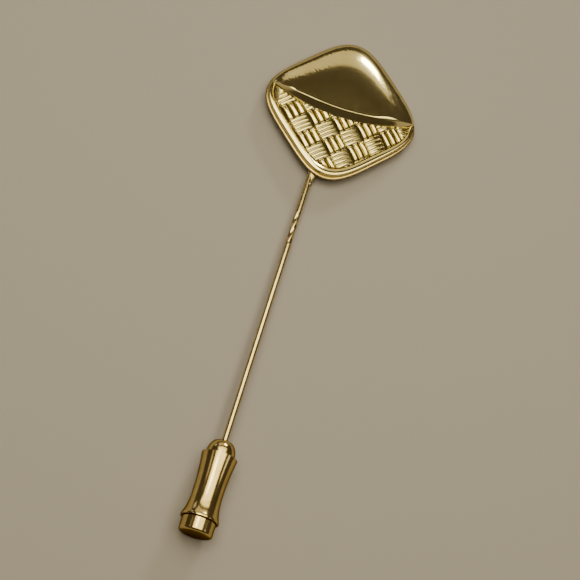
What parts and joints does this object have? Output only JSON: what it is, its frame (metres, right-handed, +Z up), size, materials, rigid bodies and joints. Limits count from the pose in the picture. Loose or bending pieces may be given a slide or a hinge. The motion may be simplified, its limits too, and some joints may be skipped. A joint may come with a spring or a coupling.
{
  "type": "stick pin",
  "caption": "Gold-plated stick pin: rounded-square head worn corner up, half polished pillow and half basket-weave field, on a long straight stem with a waisted barrel clutch.",
  "frame": {"origin": "on the table under the middle of the pin's overall box, with the pin lying on its back", "axes": "+Y towards the head along the pin's length, +X to the head's right, +Z up out of the head's face; the stem slopes 1.87 degrees, lower at the head"},
  "size_m": [0.0198, 0.068, 0.0047],
  "materials": {
    "head_gold": "pale gold plate, polished, with fine wear scratches",
    "stem_gold": "champagne gold plate on drawn wire",
    "clutch_brass": "polished turned and drawn brass",
    "solder": "soft solder under thin gold plate",
    "steel": "bright steel"
  },
  "bodies": {
    "pin": {"stem": "stem_gold", "head_face": "head_gold", "back_plate": "head_gold", "solder_joint": "solder"},
    "plunger": {"ball_cage": "clutch_brass", "lock_ball_1": "steel", "lock_ball_2": "steel", "lock_ball_3": "steel", "release_knob": "clutch_brass"},
    "spring": {"release_spring": "steel"},
    "barrel": {"clutch_sleeve": "clutch_brass", "clutch_nose": "clutch_brass", "rear_bush": "clutch_brass"}
  },
  "joints": [
    {"name": "clutch_slide", "type": "slide", "parent": "pin", "child": "plunger", "axis": [0, -0.9995, 0.0327], "range_m": [0, 0.01]},
    {"name": "knob_release", "type": "slide", "parent": "plunger", "child": "spring", "axis": [0, 0.9995, -0.0327], "range_m": [0, 0.0007], "stiffness_N_per_m": 60, "springref_m": -0.0005, "deforming": ["release_spring"]},
    {"name": "barrel_spin", "type": "hinge", "parent": "spring", "child": "barrel", "pos_m": [-0.00115, -0.0243, 0.00216], "axis": [0, -0.9995, 0.0327], "continuous": true}
  ]
}
